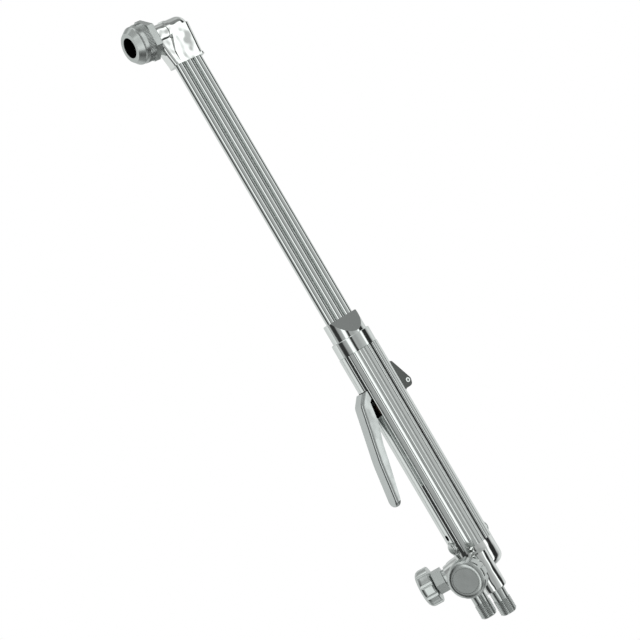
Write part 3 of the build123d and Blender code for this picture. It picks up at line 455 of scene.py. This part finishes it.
# %% The metal finishes
# Each row is a material's name, its tint, its roughness and how far that drifts, the way its
# grain runs, the grain's scale and depth, and the height of the swell.
ALONG = (0.015, 1, 1)
ALL_WAYS = (1, 1, 1)
METALS = {
    "nickel": ("forged_nickel", (0.86, 0.87, 0.86), 0.06, 0.04, ALL_WAYS, 300.0, 0.01, 11.0),
    "tube": ("drawn_tube", (0.78, 0.80, 0.79), 0.05, 0.04, ALONG, 1400.0, 0.015, 0.0),
    "nut": ("satin_nut", (0.56, 0.58, 0.57), 0.24, 0.08, ALL_WAYS, 900.0, 0.04, 1.0),
    "ferrule": ("turned_nickel", (0.80, 0.82, 0.81), 0.10, 0.05, ALONG, 1200.0, 0.02, 0.6),
    "handle": ("fluted_nickel", (0.80, 0.82, 0.81), 0.09, 0.05, ALONG, 1200.0, 0.03, 0.4),
    "bracket": ("dull_steel", (0.13, 0.135, 0.13), 0.34, 0.10, ALL_WAYS, 700.0, 0.3, 0.0),
    "pin": ("bright_steel", (0.72, 0.74, 0.73), 0.18, 0.06, ALL_WAYS, 900.0, 0.05, 0.0),
    "lever": ("pressed_nickel", (0.60, 0.62, 0.615), 0.20, 0.10, ALL_WAYS, 500.0, 0.05, 6.0),
    "body": ("forged_body", (0.86, 0.87, 0.86), 0.08, 0.05, ALL_WAYS, 300.0, 0.02, 10.0),
    "fitting": ("threaded_nickel", (0.60, 0.62, 0.61), 0.20, 0.08, ALL_WAYS, 900.0, 0.05, 1.0),
    "knob": ("satin_knob", (0.62, 0.64, 0.63), 0.24, 0.10, ALL_WAYS, 800.0, 0.03, 3.0),
    "brass": ("machined_brass", (0.26, 0.21, 0.13), 0.34, 0.06, ALL_WAYS, 900.0, 0.1, 0.0),
    "copper": ("drawn_copper", (0.20, 0.14, 0.11), 0.40, 0.08, ALONG, 1200.0, 0.1, 0.0),
    "stainless": ("turned_stainless", (0.62, 0.63, 0.62), 0.22, 0.06, ALL_WAYS, 900.0, 0.1, 0.0),
}
# These finishes carry the painted shade of the tip nut's bore.
BORE_SHADED_SLOTS = ("nickel", "nut")
finishes = {slot: plated(*row, slot in BORE_SHADED_SLOTS) for slot, row in METALS.items()}
print("finishes:", sorted(finishes))

# %% [markdown]
# ## Packing and rubber
# The stems run in pressed white packing, and the cutting valve closes on a black rubber disc.
# Both are hidden once the torch is whole, so a mottled colour with a soft roughness is enough.

# %% Soft materials
MOTTLE_SCALE = 900.0
MOTTLE_SHADE = 0.8
MOTTLE_ROUGHNESS = 0.1


def soft_material(name, color, roughness):
    """Pressed packing or rubber: no shine, with a slight mottle."""
    material = bpy.data.materials.new(name)
    material.use_nodes = True
    make = Maker(material.node_tree)
    place = make.node("ShaderNodeTexCoord", output=3)
    mottle = make.node(
        "ShaderNodeTexNoise", inputs={"Vector": place, "Scale": MOTTLE_SCALE, "Detail": 3.0}
    )
    darker = [channel * MOTTLE_SHADE for channel in color]
    mixed = make.mix(mottle, (*color, 1), (*darker, 1))
    rough = roughness + (mottle - 0.5) * MOTTLE_ROUGHNESS
    surface = make.node(
        "ShaderNodeBsdfPrincipled", inputs={"Base Color": mixed, "Roughness": rough}
    )
    make.node("ShaderNodeOutputMaterial", inputs={"Surface": surface})
    return material


finishes["packing"] = soft_material("white_packing", (0.84, 0.84, 0.81), 0.5)
finishes["rubber"] = soft_material("black_rubber", (0.03, 0.03, 0.03), 0.6)
print("finishes with packing and rubber:", len(finishes))

# %% [markdown]
# ## Finishes on the CAD nodes
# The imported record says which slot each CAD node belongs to. A list of nodes could be typed
# here, but the record is read instead, so no node is ever left with a plain colour.

# %% Give every CAD node its finish
slot_of = {part["node"]: part["material_slot"] for part in frame["record"]["subparts"]}
for node, piece in frame["nodes"].items():
    piece.data.materials.clear()
    piece.data.materials.append(finishes[slot_of[node]])
print("CAD nodes finished:", len(slot_of))

# %% [markdown]
# ## Turned pieces
# A hose inlet is turned on a lathe, so its shape is one outline spun about an axis. A modifier
# could spin it, but a short loop keeps the points exact, and closes the shape on itself, bore
# and all, so that its faces can be made to point outwards.

# %% Turn an outline about an axis
TURN_STEPS = 96


def turned(name, stand, profile):
    """Turn a closed outline of (radius, height) points, in millimetres, round a stand's z axis."""
    form = bmesh.new()
    rings = []
    for step in range(TURN_STEPS):
        angle = 2 * math.pi * step / TURN_STEPS
        ring = []
        for radius, height in profile:
            point = Vector((radius * math.cos(angle), radius * math.sin(angle), height)) * MM
            ring.append(form.verts.new(stand @ point))
        rings.append(ring)
    for step in range(TURN_STEPS):
        here, after = rings[step], rings[(step + 1) % TURN_STEPS]
        for corner in range(len(profile)):
            onward = (corner + 1) % len(profile)
            form.faces.new((here[corner], here[onward], after[onward], after[corner]))
    bmesh.ops.recalc_face_normals(form, faces=form.faces)
    mesh = bpy.data.meshes.new(name)
    form.to_mesh(mesh)
    form.free()
    return mesh


print("turned pieces have", TURN_STEPS, "sides")

# %% [markdown]
# ## Pieces that grow from a rule
# The hose inlets end in a real screw thread, and the tip nut's barrel carries a band of
# knurling. A bump map fades where the outline is seen against the light, so both are modelled.
# Each follows a rule, so Geometry Nodes make them. One function makes an empty tree with its
# named sizes, and another fills it, sets the sizes, and takes a plain mesh from it, so that no
# modifier is left behind.


# %% A node tree with one named input for each size
def size_tree(name, sizes):
    """A Geometry Nodes tree with one input for its mesh and one for each named size."""
    tree = bpy.data.node_groups.new(name + "_tree", "GeometryNodeTree")
    tree.interface.new_socket("Geometry", in_out="INPUT", socket_type="NodeSocketGeometry")
    for label, value in sizes.items():
        is_material = isinstance(value, bpy.types.Material)
        kind = "NodeSocketMaterial" if is_material else "NodeSocketFloat"
        tree.interface.new_socket(label, in_out="INPUT", socket_type=kind)
    tree.interface.new_socket("Geometry", in_out="OUTPUT", socket_type="NodeSocketGeometry")
    return tree


print("node trees take their sizes by name")

# %% Take a plain mesh from the finished tree
SHARP_DEGREES = 35


def grown(name, mesh, build_tree, sizes):
    """An object whose mesh comes from a Geometry Nodes tree with named sizes."""
    tree = size_tree(name, sizes)
    make = Maker(tree)
    entry = make.node("NodeGroupInput").socket.node
    given = {socket.name: Value(tree, socket) for socket in entry.outputs if socket.name}
    real = make.node("GeometryNodeRealizeInstances", inputs={0: build_tree(make, given)})
    dressed = make.node(
        "GeometryNodeSetMaterial", inputs={"Geometry": real, "Material": given["Finish"]}
    )
    make.node("NodeGroupOutput", inputs={0: dressed})
    host = bpy.data.objects.new(name + "_host", mesh)
    bpy.context.scene.collection.objects.link(host)
    modifier = host.modifiers.new(name, "NODES")
    modifier.node_group = tree
    for item in tree.interface.items_tree:
        if item.in_out == "INPUT" and item.name in sizes:
            modifier[item.identifier] = sizes[item.name]
    bpy.context.view_layer.update()
    evaluated = host.evaluated_get(bpy.context.evaluated_depsgraph_get())
    plain = bpy.data.meshes.new_from_object(evaluated)
    bpy.data.objects.remove(host)
    piece = bpy.data.objects.new(name, plain)
    bpy.context.scene.collection.objects.link(piece)
    plain.shade_smooth()
    plain.set_sharp_from_angle(angle=math.radians(SHARP_DEGREES))
    print(name, "has", len(plain.polygons), "faces")
    return piece


print("grown pieces are smooth up to", SHARP_DEGREES, "degrees")

# %% [markdown]
# ## Hose inlets
# Each inlet is a turned core with a ridge wound round it. Oxygen's thread turns right-handed
# and fuel gas's left-handed, so that neither hose fits the other's inlet. The ridge is a helix
# swept with a small six-sided section, its foot sunk in the core. Blender's spiral turns
# left-handed unless it is reversed.

# %% The thread's sizes and tree
# The sizes are in millimetres. A turn of the helix has HELIX_STEPS steps.
THREAD_RADIUS = 7.144
THREAD_PITCH = 1.411
THREAD_RUN = 11.6
THREAD_TUCK = 0.6
THREAD_END_GAP = 1.0
HELIX_STEPS = 40
RIDGE_SIDES = 6
QUARTER_TURN = math.pi / 2
# Spigot in the body, neck, the thread's core, and the rounded mouth.
INLET_PROFILE = (
    (3.0, -8.0),
    (5.0, -8.0),
    (5.0, 0.0),
    (6.5, 0.0),
    (6.5, 8.0),
    (6.35, 8.4),
    (6.35, 20.9),
    (5.9, 21.4),
    (5.0, 21.4),
    (3.0, 19.4),
)


def thread_tree(right_handed):
    """The builder of a tree that joins a helical ridge to the turned core."""

    def build(make, given):
        helix = make.node(
            "GeometryNodeCurveSpiral",
            inputs={
                "Resolution": HELIX_STEPS,
                "Rotations": given["Turns"],
                "Start Radius": given["Radius"],
                "End Radius": given["Radius"],
                "Height": given["Run"],
                "Reverse": right_handed,
            },
        )
        upright = make.node("GeometryNodeSetCurveNormal", {"mode": "Z_UP"}, {"Curve": helix})
        section = make.node(
            "GeometryNodeCurvePrimitiveCircle",
            inputs={"Resolution": RIDGE_SIDES, "Radius": given["Ridge"]},
        )
        ridge = make.node(
            "GeometryNodeCurveToMesh",
            inputs={"Curve": upright, "Profile Curve": section, "Fill Caps": True},
        )
        turn = make.node("ShaderNodeCombineXYZ", inputs={"Y": QUARTER_TURN})
        where = make.node(
            "ShaderNodeCombineXYZ", inputs={"X": given["X"], "Y": given["Y"], "Z": given["Z"]}
        )
        placed = make.node(
            "GeometryNodeTransform",
            inputs={"Geometry": ridge, "Translation": where, "Rotation": turn},
        )
        return make.node("GeometryNodeJoinGeometry", inputs={0: [given["Geometry"], placed]})

    return build


print("threads an inch:", round(25.4 / THREAD_PITCH, 1))

# %% Hose inlets with a real thread
inlet_face_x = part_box("rear_body")[1].x
for gas in ("oxygen", "fuel"):
    low_corner, high_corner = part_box(gas + "_inlet")
    inlet_y = (low_corner.y + high_corner.y) / 2
    inlet_z = (low_corner.z + high_corner.z) / 2
    facing_back = Matrix.Rotation(QUARTER_TURN, 4, "Y")
    stand = Matrix.Translation((inlet_face_x, inlet_y, inlet_z)) @ facing_back
    core = turned(gas + "_core", stand, INLET_PROFILE)
    sizes = {
        "Turns": THREAD_RUN / THREAD_PITCH,
        "Radius": (THREAD_RADIUS - THREAD_TUCK) * MM,
        "Ridge": THREAD_TUCK * MM,
        "Run": THREAD_RUN * MM,
        "X": high_corner.x - (THREAD_RUN + THREAD_END_GAP) * MM,
        "Y": inlet_y,
        "Z": inlet_z,
        "Finish": finishes["fitting"],
    }
    inlet = grown(gas + "_threaded_inlet", core, thread_tree(gas == "oxygen"), sizes)
    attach(inlet, "torch")
    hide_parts(gas + "_inlet")

# %% [markdown]
# ## Knurling
# The tip nut is turned by hand, so its barrel is knurled beside the hexagon: rows of small
# pyramids that a wheel has pressed up. Each could be cut from the barrel, but they only stand
# on it, so one four-sided cone is repeated over a short cylinder, with its foot just under the
# nut's surface.

# %% Knurling on the tip nut
# The band starts KNURL_DROP below the nut's top edge. A stud's foot lies STUD_SINK under the
# barrel's surface, its corners reach STUD_REACH from its middle, and it is STUD_PROUD high.
KNURL_ROWS = 7
KNURL_COLUMNS = 88
KNURL_DROP = 6.9 * MM
KNURL_RUN = 4.6 * MM
BARREL_RADIUS = 15.7 * MM
STUD_SINK = 0.05 * MM
STUD_REACH = 0.70 * MM
STUD_PROUD = 0.5 * MM
STUD_SIDES = 4


def knurl_tree(make, given):
    """Small four-sided pyramids over a short cylinder, all pointing outwards."""
    band = make.node(
        "GeometryNodeMeshCylinder",
        {"fill_type": "NONE"},
        {
            "Vertices": KNURL_COLUMNS,
            "Side Segments": KNURL_ROWS - 1,
            "Radius": given["Radius"],
            "Depth": given["Run"],
        },
    )
    outward = make.node("GeometryNodeInputNormal")
    facing = make.node("FunctionNodeAlignRotationToVector", {"axis": "Z"}, {"Vector": outward})
    stud = make.node(
        "GeometryNodeMeshCone",
        {"fill_type": "NONE"},
        {
            "Vertices": STUD_SIDES,
            "Radius Top": 0.0,
            "Radius Bottom": given["Stud"],
            "Depth": given["Proud"],
        },
    )
    studs = make.node(
        "GeometryNodeInstanceOnPoints",
        inputs={"Points": band, "Instance": stud, "Rotation": facing},
    )
    where = make.node("ShaderNodeCombineXYZ", inputs={"X": given["X"], "Z": given["Z"]})
    return make.node("GeometryNodeTransform", inputs={"Geometry": studs, "Translation": where})


knurl = grown(
    "tip_nut_knurl",
    bpy.data.meshes.new("knurl_start"),
    knurl_tree,
    {
        "Radius": BARREL_RADIUS - STUD_SINK,
        "Run": KNURL_RUN,
        "Stud": STUD_REACH,
        "Proud": STUD_PROUD,
        "X": TIP_X,
        "Z": NUT_TOP_Z - KNURL_DROP - KNURL_RUN / 2,
        "Finish": finishes["nut"],
    },
)
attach(knurl, "tip_nut")
